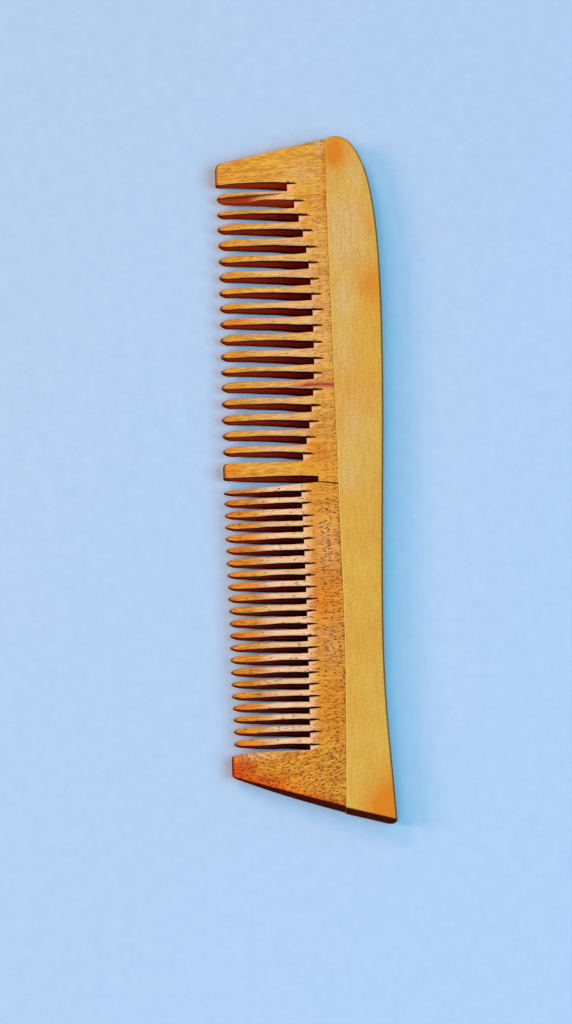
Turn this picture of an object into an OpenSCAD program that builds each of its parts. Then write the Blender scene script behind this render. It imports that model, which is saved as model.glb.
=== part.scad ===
// A handmade wooden comb. Two lengths of cross-grain board carry the sawn teeth,
// and a long-grain spine with a rounded back is glued along their straight edge.
// The comb lies flat: X runs across it from the tooth tips to the back, Y along it
// from the fine end to the coarse end, and Z up from the face that it lies on.

/* [Blank] */
// Thickness of the spine and of the boards beside it
thick = 7; // [6:0.1:9]
// Place of the tooth tips and guards, across the comb
tip_x = -21.55; // [-23:0.05:-20]
// Height up the comb of the coarse board's end edge beside the joint
coarse_end_y = 93.5; // [93:0.1:94]
// Slope of the coarse board's end edge, rise for each millimetre across
coarse_end_slope = 0.19; // [0.1:0.005:0.25]
// Height down the comb of the fine board's end edge beside the joint
fine_end_y = -90.6; // [-91:0.1:-89]
// Slope of the fine board's end edge, rise for each millimetre across
fine_end_slope = -0.325; // [-0.4:0.005:-0.2]
// How far the fine board's end edge bows out in its middle
fine_end_bow = 0.2; // [0:0.05:0.5]
// Thickness of the glue film
glue_film = 0.1; // [0.06:0.01:0.2]
// Clearance on each side of the glue film
glue_clear = 0.02; // [0.01:0.01:0.05]

/* [Thickness of the teeth] */
// Place across the comb where the faces start to fall towards the tips
fall_x = 5; // [3:0.1:6]
// How far the upper face has fallen at the coarse tips
coarse_fall = 2.35; // [1.5:0.05:2.6]
// How far the upper face has fallen at the fine tips
fine_fall = 2.75; // [2:0.05:2.9]
// How far the lower face has risen at the coarse tips
coarse_rise = 2; // [0.5:0.05:2.4]
// How far the lower face has risen at the fine tips
fine_rise = 2.75; // [0.5:0.05:2.9]
// How late the lower face rises: 1 is an even slope, higher keeps it flat for longer
rise_power = 3; // [1.2:0.1:4]
// How sharply the fall grows towards the tips
fall_power = 1.45; // [1.2:0.05:2]

/* [Saw cuts] */
// Lean of the saw cuts, drop along the comb for each millimetre across
lean = 0.027; // [0:0.001:0.05]
// Spacing of the coarse cuts
coarse_pitch = 4.49; // [4.4:0.01:4.55]
// Place of the first coarse cut along the comb
coarse_first_y = 80.45; // [80:0.05:81]
// Width of a coarse cut at the tips
coarse_mouth_w = 3.05; // [2.4:0.05:3.2]
// Width of a coarse cut at its end
coarse_kerf_w = 1.75; // [1.5:0.05:2]
// Spacing of the fine cuts
fine_pitch = 3.24; // [3.2:0.01:3.26]
// Place of the first fine cut along the comb
fine_first_y = -6.5; // [-6.8:0.05:-6.2]
// Width of a fine cut at the tips
fine_mouth_w = 1.95; // [1.5:0.05:2.1]
// Width of a fine cut at its end
fine_kerf_w = 1.35; // [1.1:0.05:1.5]
// Length of the rounded nose of each tooth
nose_len = 4.2; // [2:0.1:5]
// Length of the filed run-out past the end of each cut
runout_len = 2.9; // [2:0.1:3.5]
// Depth of the filed run-out at the end of the cut
runout_depth = 0.95; // [0.5:0.05:1.2]

/* [Spine] */
// Width of the rounding along the upper side of the back edge
back_round_w = 0.8; // [0.5:0.1:2]
// Height of that rounding
back_round_h = 1.5; // [0.5:0.1:1.7]
// Width of the fuller rounding along its lower side
under_round_w = 2.6; // [0.5:0.1:3.5]
// Height of that rounding
under_round_h = 5.2; // [1.5:0.1:5.2]
// Radius of the corner between the coarse end and the back
nose_r = 5.2; // [5:0.1:5.4]
// Height up the comb of the spine's coarse end at the joint
spine_top_y = 93.7; // [93.5:0.1:94]
// Height down the comb of the spine's fine end at the joint
spine_foot_y = -90.75; // [-92:0.05:-90.5]
// Slope of the spine's fine end, rise for each millimetre across
spine_foot_slope = -0.285; // [-0.35:0.005:-0.2]

/* [Hidden] */

// Each coarse cut's wander from its even spacing, in the order of the cuts
COARSE_WANDER = [0.15, -0.35, 0.15, 0.15, -0.05, -0.05, -0.2, -0.05, 0,
                 0, -0.1, -0.2, 0.15, 0, 0.05, 0, 0.1, 0.15];
// Each fine cut's wander from its even spacing, in the order of the cuts
FINE_WANDER = [0.15, 0.2, 0.1, 0.25, 0.2, 0.25, -0.05, 0.05, 0.1, 0.1, 0.05,
               -0.15, -0.2, -0.1, -0.25, -0.25, -0.15, -0.1, 0, 0.2, 0.2, 0.15];
// Back edge of the spine: height along the comb, place across it
BACK = [[-97, 20.75], [-80, 19.85], [-64, 19.05], [-48, 18.85], [-28, 19.35],
        [-6, 20.2], [18, 21.15], [40, 21.65], [56, 21.6], [69, 21.05],
        [80, 19.75], [85.5, 18.45], [89.6, 16.85], [92.18, 15.3]];
// Glued joint: height along the comb, place across it
JOINT = [[-95, 7.5], [-80, 8], [-62, 8.5], [-41, 8.8], [-17, 8.6],
         [10, 8.4], [40, 8.2], [70, 7.95], [95, 8.15]];
// Filed-out shape of the cuts: place across the comb, shift of the upper wall, of the lower
COARSE_HOLLOW = [[-21.5, -0.5, 0], [-19.6, -0.44, 0], [-18, -0.18, 0.03], [-15.9, -0.05, 0.05],
                 [-13.3, 0.03, 0.04], [-10.7, 0.08, -0.11], [-8, 0.14, -0.28],
                 [-5.4, 0.14, -0.38], [-2.8, 0.07, -0.38], [0, 0, -0.38], [4, 0, -0.34]];
FINE_HOLLOW = [[-21.5, -0.25, 0.1], [-19, -0.22, 0.15], [-16.9, -0.07, 0.18],
               [-14.9, -0.05, 0.2], [-12.8, 0, 0.22], [-10.3, 0.14, 0.18], [-7.7, 0.25, 0.16],
               [-5.1, 0.31, 0.14], [-3.1, 0.3, 0.13], [0, 0.26, 0.13]];
// Hairline between the two boards: place across, height along, half its opening
CRACK = [[3.4, -3.35, 0.1], [5.8, -3.6, 0.14], [8.5, -4, 0.2]];
// Lower side of the dividing tooth: place in from the tips, height along the comb
DIVIDER_SIDE = [[0.15, 2.2], [0.15, -0.4], [0.6, -0.9], [12.25, -1.15], [20.05, -1.35],
                [24.95, -1.8]];
// Upper side of the first fine tooth, out to its tip and round it, in the same columns
FIRST_FINE_SIDE = [[12.25, -4.1], [4.2, -4.3], [1, -4.55], [0.15, -4.95], [1, -5.3]];
// Upper side of the guard at the fine end, in the same columns
GUARD_SIDE = [[12.25, -75.3], [5.55, -75.5], [0.6, -76]];
// Places in from the tips where the fine end's edge has a corner of its bow
FINE_END_AT = [1.1, 7.55, 14.55, 21.55];
// Rounded corner of the guard at the coarse end: place in from the tips, drop from the edge
GUARD_CORNER = [[1.6, 0], [0.4, 0.45], [0, 1.6]];
// How the ends of the coarse cuts fall back from the deepest one, up and then down the
// comb: over what reach, how far, how sharply
COARSE_ROOT_FALL = [[44.2, 5.9, 3], [32, 3.65, 2.3]];

mid_z = thick / 2;
lean_x = -9.3;
coarse_deepest_y = 36.5;
coarse_root_x = 3.4;
fine_root_x = -0.65;
fine_middle_y = -45;
fine_root_reach = 39;
fine_root_fall = 0.45;
coarse_tip_in = 0.35;
coarse_tip_drift = 0.25;
fine_tip_in = 0.25;
fine_tip_drift = 1.05;
taper_len = 24;
taper_power = 1.6;
coarse_cuts = len(COARSE_WANDER);
fine_cuts = len(FINE_WANDER);
joint_x = 8.3;
joint_recess = 0.08;
joint_steps = 40;
side_steps = 6;
nose_steps = 6;
fall_steps = 9;
tip_edge_h = 1.1;
tip_round = 1.2;
// The middle point of the tips' rounding: share of its length, share of the face's height
tip_bend = [0.3, 0.55];
// Run-outs: how far below the cut's upper wall the floor starts, how steep that flank is
runout_wall = 0.2;
runout_steep = 0.3;
runout_over = 0.1;
// How far the run-outs turn down the comb from square, in degrees
coarse_turn = 8;
fine_turn = 3;
// Slip of the saw on the first coarse tooth: where it is deepest, how deep, how long
slip_from = [-19.5, 77.95];
slip_deep = 1.4;
slip_len = 16;
slip_turn = 3;
slip_steep = 0.2;
slip_wide = 1.2;
// Sections of the spine, and how far their joint ends lag behind near the coarse end
spine_steps = 42;
section_lag = 3;
section_lag_power = 6;
// The fan of sections round the spine's corner: first and last turn, in degrees
fan_from = 35;
fan_to = 110;
fan_step = 10;
fan_thins = 0.7;
nose_in = 2.8;
foot_reach = [10, 20];
far = 120;

// Smooth curve through a table of [place, value] rows
function row_of(t, v, i = 0) = i >= len(t) - 2 || v <= t[i + 1][0] ? i : row_of(t, v, i + 1);
function slope_of(t, i) =
    let (a = max(i - 1, 0), b = min(i + 1, len(t) - 1))
    (t[b][1] - t[a][1]) / (t[b][0] - t[a][0]);
function curve(t, v) =
    let (i = row_of(t, v), h = t[i + 1][0] - t[i][0], u = (v - t[i][0]) / h)
    (2 * u ^ 3 - 3 * u ^ 2 + 1) * t[i][1] + (u ^ 3 - 2 * u ^ 2 + u) * h * slope_of(t, i)
    + (3 * u ^ 2 - 2 * u ^ 3) * t[i + 1][1] + (u ^ 3 - u ^ 2) * h * slope_of(t, i + 1);
function flat(lists) = [for (l = lists) each l];

// The joint's two faces, and a run of points up one of them
function board_edge(y) = curve(JOINT, y) - glue_film / 2 - glue_clear;
function spine_edge(y) = curve(JOINT, y) + glue_film / 2 + glue_clear;
function joint_run(from_y, to_y, aside) = [
    for (k = [0:joint_steps])
        let (y = from_y + (to_y - from_y) * k / joint_steps)
        [curve(JOINT, y) + aside, y]];

// The two slanted end edges
function coarse_edge_y(x) = coarse_end_y + coarse_end_slope * (x - joint_x);
function fine_edge_y(x) =
    let (u = (x - tip_x) / (joint_x - tip_x))
    fine_end_y + fine_end_slope * (x - joint_x) - fine_end_bow * 4 * u * (1 - u);

// A face's height from the board's middle, which falls away from the joint to the tips
function half_t(x, fall, power) =
    mid_z - fall * (max(0, fall_x - x) / (fall_x - tip_x)) ^ power;

// Saw cuts: centre line, half width, and how far each one runs in
function coarse_y(i, x) = coarse_first_y - i * coarse_pitch + COARSE_WANDER[i] - lean * (x - lean_x);
function fine_y(i, x) = fine_first_y - i * fine_pitch + FINE_WANDER[i] - lean * (x - lean_x);
function cut_half(x, mouth, kerf) =
    let (u = max(0, min(1, (x - tip_x) / taper_len)))
    (mouth - (mouth - kerf) * u ^ taper_power) / 2;
function coarse_root(i) =
    let (away = coarse_y(i, 0) - coarse_deepest_y, row = COARSE_ROOT_FALL[away > 0 ? 0 : 1])
    coarse_root_x - row[1] * (abs(away) / row[0]) ^ row[2];
function fine_root(i) =
    fine_root_x - fine_root_fall * ((fine_y(i, 0) - fine_middle_y) / fine_root_reach) ^ 2;
function coarse_tip(i) = tip_x + coarse_tip_in - coarse_tip_drift * (i / coarse_cuts) ^ 2;
function fine_tip(i) = tip_x + fine_tip_in + fine_tip_drift * i / fine_cuts;

// Plan of a toothed edge, cut by cut from the coarse end down
function cut_y(coarse, i, x) = coarse ? coarse_y(i, x) : fine_y(i, x);
function root_x(coarse, i) = coarse ? coarse_root(i) : fine_root(i);
function tooth_tip(coarse, i) = coarse ? coarse_tip(i) : fine_tip(i);
function half_w(coarse, x) =
    coarse ? cut_half(x, coarse_mouth_w, coarse_kerf_w) : cut_half(x, fine_mouth_w, fine_kerf_w);
function column(rows, c) = [for (r = rows) [r[0], r[c]]];
function cut_side(coarse, i, x, side) =
    cut_y(coarse, i, x) + side * half_w(coarse, x)
    + lookup(x, column(coarse ? COARSE_HOLLOW : FINE_HOLLOW, side > 0 ? 1 : 2));
function side_path(coarse, i, side, from_x) = [
    for (k = [0:side_steps])
        let (x = from_x + (root_x(coarse, i) - from_x) * k / side_steps)
        [x, cut_side(coarse, i, x, side)]];
function reversed(l) = [for (k = [len(l) - 1:-1:0]) l[k]];
// Rounded nose of the tooth below cut i, from its upper side round to its lower side
function nose(coarse, i) = [
    for (k = [1:nose_steps - 1])
        let (a = 180 * k / nose_steps,
             x = tooth_tip(coarse, i) + nose_len * (1 - sin(a)),
             up = cut_side(coarse, i, x, -1),
             low = cut_side(coarse, i + 1, x, 1))
        [x, (up + low) / 2 + (up - low) / 2 * cos(a)]];
// The last cut's lower side belongs to the dividing tooth or the guard and is given apart.
function toothed_path(coarse, count, first_x, last_side) = flat([
    for (i = [0:count - 1])
        concat(
            side_path(coarse, i, 1, i == 0 ? first_x : tooth_tip(coarse, i - 1) + nose_len),
            i == count - 1 ? last_side
                : reversed(side_path(coarse, i, -1, tooth_tip(coarse, i) + nose_len)),
            i == count - 1 ? [] : nose(coarse, i))]);

// Points given by their place in from the tips
function from_tips(rows) = [for (r = rows) [tip_x + r[0], r[1]]];

// Plans of the two boards
board_aside = -glue_film / 2 - glue_clear;
function coarse_plan() = concat(
    joint_run(CRACK[2][1] + CRACK[2][2], coarse_edge_y(joint_x), board_aside),
    [for (c = GUARD_CORNER) [tip_x + c[0], coarse_edge_y(tip_x + c[0]) - c[1]]],
    toothed_path(true, coarse_cuts, tip_x,
        reversed(side_path(true, coarse_cuts - 1, -1, tip_x + tip_edge_h))),
    from_tips(DIVIDER_SIDE),
    [[CRACK[0][0], CRACK[0][1] + CRACK[0][2]], [CRACK[1][0], CRACK[1][1] + CRACK[1][2]]]);
function fine_plan() = concat(
    joint_run(fine_edge_y(joint_x), CRACK[2][1] - CRACK[2][2], board_aside),
    [[CRACK[1][0], CRACK[1][1] - CRACK[1][2]], [CRACK[0][0], CRACK[0][1] - CRACK[0][2]]],
    from_tips(FIRST_FINE_SIDE),
    toothed_path(false, fine_cuts, tip_x + nose_len,
        concat([[fine_root(fine_cuts - 1), GUARD_SIDE[0][1]]], from_tips(GUARD_SIDE))),
    [[tip_x + GUARD_SIDE[2][0], fine_edge_y(tip_x) + 0.5]],
    [for (d = FINE_END_AT) [tip_x + d, fine_edge_y(tip_x + d)]]);

// Side view of a board: the upper face falls and the lower one rises towards the tips
function face_line(fall, power) =
    let (first = tip_x + tip_round)
    concat(
        [[tip_x, tip_edge_h / 2],
         [tip_x + tip_bend[0] * tip_round,
          tip_bend[1] * half_t(first, fall, power) + 0.1 * tip_edge_h]],
        [for (k = [0:fall_steps])
            let (x = first + (fall_x - first) * k / fall_steps)
            [x, half_t(x, fall, power)]],
        [[joint_x + 2, mid_z]]);
function board_profile(fall, rise) =
    concat([for (p = face_line(fall, fall_power)) [p[0], mid_z + p[1]]],
           [for (p = reversed(face_line(rise, rise_power))) [p[0], mid_z - p[1]]]);

// Lopsided vee that rises to a face: a steep flank on one side of its floor line and a
// wide one on the other. It starts at the origin, vee_deep below the face, and reaches
// the face after vee_len. steep and wide are how far each flank spreads for its rise.
module vee(vee_len, vee_deep, steep, wide) {
    tall = 3;
    start_back = 0.6;
    past = 2;
    rotate([0, -atan(vee_deep / vee_len), 0])
        translate([-start_back, 0, 0])
            rotate([90, 0, 90])
                linear_extrude(height = start_back + vee_len + past)
                    polygon([[0, 0], [steep * tall, tall], [-wide * tall, tall]]);
}

// Filed run-out past the end of a cut. Its steep flank carries on the cut's upper wall.
module runout(coarse, i, fall, power) {
    root = root_x(coarse, i);
    face = mid_z + half_t(root, fall, power);
    gap = cut_side(coarse, i, root, 1) - cut_side(coarse, i, root, -1);
    wide = (gap - runout_wall + runout_over) / runout_depth;
    translate([root, cut_side(coarse, i, root, 1) - runout_wall, face - runout_depth])
        rotate([0, 0, coarse ? -coarse_turn : -fine_turn])
            vee(runout_len, runout_depth, runout_steep, wide);
}

// The saw slipped on the first coarse tooth: a vee runs along its upper face and takes
// the lower corner off towards the tip.
module slip_cut() {
    face = mid_z + half_t(slip_from[0], coarse_fall, fall_power);
    translate([slip_from[0], slip_from[1], face - slip_deep])
        rotate([0, 0, slip_turn]) vee(slip_len, slip_deep, slip_steep, slip_wide);
}

module on_lower_face() {
    translate([0, 0, thick]) mirror([0, 0, 1]) children();
}

// One board: the plan, taken down to the side view, less the run-outs on both faces
module toothed_board(plan, fall, rise, coarse, count) {
    difference() {
        intersection() {
            linear_extrude(height = thick) polygon(plan);
            translate([0, far, 0]) rotate([90, 0, 0])
                linear_extrude(height = 2 * far) polygon(board_profile(fall, rise));
        }
        for (i = [0:count - 1]) {
            runout(coarse, i, fall, fall_power);
            on_lower_face() runout(coarse, i, rise, rise_power);
        }
        if (coarse) slip_cut();
    }
}

module coarse_board() {
    color("#dba94f") toothed_board(coarse_plan(), coarse_fall, coarse_rise, true, coarse_cuts);
}

module fine_board() {
    color("#d98f45") toothed_board(fine_plan(), fine_fall, fine_rise, false, fine_cuts);
}

// Spine: each section runs from the joint out to the back edge, with a rounded back.
// Past the last straight section they fan round the corner to the coarse end.
nose_x = joint_x + nose_in;
nose_y = BACK[len(BACK) - 1][0] - nose_r * sin(fan_from);
function back_sections() =
    let (top_y = BACK[len(BACK) - 1][0], low_y = BACK[0][0], fan_y = top_y - section_lag)
    concat(
        [for (k = [0:spine_steps])
            let (u = k / spine_steps, y = low_y + (top_y - low_y) * u)
            [y - section_lag * u ^ section_lag_power, curve(BACK, y), y, 1]],
        [for (a = [fan_from + fan_step:fan_step:fan_to - 1])
            let (u = (a - fan_from) / (fan_to - fan_from))
            [fan_y + (spine_top_y - fan_y) * u,
             nose_x + nose_r * cos(a), nose_y + nose_r * sin(a), 1 - fan_thins * u]],
        [[spine_top_y - 0.02, spine_edge(spine_top_y) + 0.3, spine_top_y + 0.1, 1 - fan_thins]]);
// A point of a section, a distance out from the joint and a height above or below the middle
function section_point(inner, dir, out, up) =
    [inner[0] + dir[0] * out, inner[1] + dir[1] * out, mid_z + up];
// Half of a section, from the back edge round to a face and in to the joint. w and h are
// the width and height of its rounding.
function half_section(span, w, h) = concat(
    [for (a = [0:18:90])
        [span - min(w, 0.8 * span) * (1 - cos(a)), mid_z - h * (1 - sin(a))]],
    [[0, mid_z]]);
// One section's ring of points: joint face, lower face, rounded back, upper face.
// The last column of a section is the share of the roundings' widths that it has.
function section_ring(s) =
    let (inner = [spine_edge(s[0]), s[0]], outer = [s[1], s[2]],
         span = norm(outer - inner), dir = (outer - inner) / span,
         under_h = min(under_round_h, thick - back_round_h - 0.1),
         upper = half_section(span, back_round_w * s[3], back_round_h),
         lower = half_section(span, under_round_w * s[3], under_h))
    concat([for (p = upper) section_point(inner, dir, p[0], p[1])],
           [for (p = reversed(lower)) section_point(inner, dir, p[0], -p[1])]);
module loft(rings) {
    n = len(rings[0]);
    last = len(rings) - 1;
    polyhedron(
        points = flat(rings),
        faces = concat(
            [[for (j = [n - 1:-1:0]) j]],
            [for (i = [0:last - 1], j = [0:n - 1]) each [
                [i * n + j, i * n + (j + 1) % n, (i + 1) * n + j],
                [i * n + (j + 1) % n, (i + 1) * n + (j + 1) % n, (i + 1) * n + j]]],
            [[for (j = [0:n - 1]) last * n + j]]));
}

module spine() {
    color("#dcb765")
    difference() {
        loft([for (s = back_sections()) section_ring(s)]);
        translate([0, 0, -1])
            linear_extrude(height = thick + 2)
                polygon([[joint_x - foot_reach[0], spine_foot_y - foot_reach[0] * spine_foot_slope],
                         [joint_x + foot_reach[1], spine_foot_y + foot_reach[1] * spine_foot_slope],
                         [joint_x + foot_reach[1], -far], [joint_x - foot_reach[0], -far]]);
    }
}

module glue_line() {
    low_y = fine_end_y + joint_recess;
    high_y = coarse_end_y - joint_recess;
    color("#8a5a2b")
    translate([0, 0, joint_recess])
        linear_extrude(height = thick - 2 * joint_recess)
            polygon(concat(joint_run(low_y, high_y, glue_film / 2),
                           joint_run(high_y, low_y, -glue_film / 2)));
}

coarse_board();
fine_board();
spine();
glue_line();
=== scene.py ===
# A handmade wooden comb lying on pale blue paper, seen almost straight from above.
# Two sawn boards carry the teeth and a rounded spine is glued along their straight edge.
# Sizes are in millimetres: X from the tooth tips to the back, Y from the fine end to the
# coarse end, Z up from the paper. They turn to metres where a mesh is made.
import math
import random
from collections import namedtuple

import bpy
import numpy as np
from mathutils import Matrix


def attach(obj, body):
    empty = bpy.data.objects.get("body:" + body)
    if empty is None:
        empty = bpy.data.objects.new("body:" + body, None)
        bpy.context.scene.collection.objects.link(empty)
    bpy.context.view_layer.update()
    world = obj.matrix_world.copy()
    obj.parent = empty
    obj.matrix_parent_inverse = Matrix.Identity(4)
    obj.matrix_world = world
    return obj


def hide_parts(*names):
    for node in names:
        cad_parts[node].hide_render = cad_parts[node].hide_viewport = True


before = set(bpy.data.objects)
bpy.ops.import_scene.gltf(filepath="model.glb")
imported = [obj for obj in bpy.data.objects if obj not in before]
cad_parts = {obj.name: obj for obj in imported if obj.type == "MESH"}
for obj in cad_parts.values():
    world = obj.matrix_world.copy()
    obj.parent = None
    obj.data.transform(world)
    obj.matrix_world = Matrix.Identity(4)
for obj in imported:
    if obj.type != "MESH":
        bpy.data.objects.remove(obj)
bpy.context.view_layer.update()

# Coarse board: the coarse half of the comb, a length of pale yellow close-grained wood with
# its grain along the teeth. It is sawn into wide-set teeth between the end guard and the
# dividing tooth, filed at the ends of the cuts and rubbed smooth.
THICK = 7.0
MID = THICK / 2
# Glued joint: height along the comb, place across it
JOINT = [(-95, 7.5), (-80, 8), (-62, 8.5), (-41, 8.8), (-17, 8.6),
         (10, 8.4), (40, 8.2), (70, 7.95), (95, 8.15)]
# How far the wood stays from the middle of the glue film
GLUE_ASIDE = 0.055


def through(table, v):
    """Smooth curve through (place, value) rows."""
    places, values = np.array(table, float).T
    slopes = np.empty(len(places))
    slopes[1:-1] = (values[2:] - values[:-2]) / (places[2:] - places[:-2])
    slopes[0] = (values[1] - values[0]) / (places[1] - places[0])
    slopes[-1] = (values[-1] - values[-2]) / (places[-1] - places[-2])
    i = np.clip(np.searchsorted(places, v) - 1, 0, len(places) - 2)
    h = places[i + 1] - places[i]
    u = (v - places[i]) / h
    return ((2 * u ** 3 - 3 * u ** 2 + 1) * values[i] + (u ** 3 - 2 * u ** 2 + u) * h * slopes[i]
            + (3 * u ** 2 - 2 * u ** 3) * values[i + 1] + (u ** 3 - u ** 2) * h * slopes[i + 1])


def ease(low, high, v):
    """Smooth step from 0 at low to 1 at high."""
    u = np.clip((v - low) / (high - low), 0, 1)
    return u * u * (3 - 2 * u)


# Line of the tips
TIP_X = -21.55
# The cuts lean down the comb by LEAN for each millimetre. Their heights are those at LEAN_X.
LEAN, LEAN_X = 0.027, -9.3
# A cut narrows from its mouth to its saw width over this length
NARROWS_OVER = 24.0
# Filed run-out past a cut: length, depth, how wide it bevels the wood below the cut at the
# cut's end and at the tips, how far under the upper wall its floor lies, and how wide its
# steep side is
RUNOUT_LONG, RUNOUT_DEEP, BEVEL, TIP_BEVEL = 2.95, 1.0, 0.42, 0.14
FLOOR_BELOW, STEEP_WIDE = 0.2, 0.32


class Cut:
    """One saw cut: its two walls, where it ends, and the filed run-out past its end."""

    def __init__(self, centre_y, root, mouth, kerf, turn, rng, hollowed):
        self.centre_y, self.root, self.mouth, self.kerf = centre_y, root, mouth, kerf
        self.hollowed = np.array(hollowed)
        self.length = RUNOUT_LONG + rng.uniform(-0.4, 0.35)
        self.depth = RUNOUT_DEEP + rng.uniform(-0.12, 0.12)
        self.turn = math.tan(math.radians(turn + rng.uniform(-2, 2)))
        self.bevel = BEVEL + rng.uniform(-0.08, 0.1)
        self.phases = [rng.uniform(0, 6.28) for _ in range(4)]

    def wall(self, x, side):
        """Height along the comb of the upper (side 1) or the lower wall (side -1)."""
        x = np.minimum(x, self.root)
        u = np.clip((x - TIP_X) / NARROWS_OVER, 0, 1)
        half = (self.mouth - (self.mouth - self.kerf) * u ** 1.6) / 2
        a, b = self.phases[:2] if side > 0 else self.phases[2:]
        wobble = 0.03 * np.sin(0.55 * x + a) + 0.02 * np.sin(1.3 * x + b)
        shift = np.interp(x, self.hollowed[:, 0], self.hollowed[:, 1 if side > 0 else 2])
        return self.centre_y - LEAN * (x - LEAN_X) + side * half + shift + wobble

    def floor(self, x):
        """Where the floor of the vee lies: just under the upper wall, then turning down."""
        past = np.clip(x - self.root, 0, self.length)
        return self.wall(x, 1) - FLOOR_BELOW - self.turn * past

    def hollow(self, x, y):
        """How far the file took the face down at x, y, and whether that is on the steep side
        of the vee, painted dark as shade, or on the rubbed side, painted pale as wear and
        as a highlight."""
        past = x - self.root
        u = np.clip(past / self.length, 0, 1)
        deep = self.depth * (1 - u ** 1.7)
        flank = self.wall(self.root, 1) - FLOOR_BELOW - self.wall(self.root, -1) + self.bevel
        grow = np.clip((x - TIP_X - 1) / (self.root - TIP_X - 1), 0, 1) ** 1.3
        edge = TIP_BEVEL + (self.bevel - TIP_BEVEL) * grow
        below = self.floor(x) - y
        under = np.where(past < 0, (edge - (self.wall(x, -1) - y)) * self.depth / flank,
                         deep * (1 - below / np.maximum(flank * (1 - u) ** 0.8, 0.02)))
        arris = 0.2 + 0.14 * grow
        above = np.where(past < 0, 0.7 * (arris - (y - self.wall(x, 1))),
                         deep * (1 + below / STEEP_WIDE))
        lower_side = y < self.floor(x)
        took = np.maximum(0, np.where(lower_side, under, above))
        # The steep side takes the dark colour of the sawn walls, which is painted shade
        steep = ease(0.03, 0.12, took) * ~lower_side * (past >= -0.01)
        # The rubbed side, and the arris beside a cut, are painted pale: partly wear, partly a
        # painted highlight
        rubbed = ease(0.0, 0.3, took) * np.where(lower_side, 1.0, 0.6 * (past < 0))
        return took, steep, rubbed


# One run of points from the tips to the joint. first is the row that it starts at, place is
# how far down its tooth it lies, from 0 to 1, or -1 where it lies in line with a cut.
Column = namedtuple("Column", "first x y hollow steep rubbed tip place tooth")
TOOTH_ROWS, BODY_ROWS = 44, 26
# Part of the way down the wood past a cut at which the floor of its vee lies
VEE_AT = 0.165
# Columns added beside the line of a slip of the saw, and the first one below that line
SLIP_COLUMNS, BELOW_SLIP = [0.455, 0.48, 0.515, 0.53, 0.56], 0.515


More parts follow.
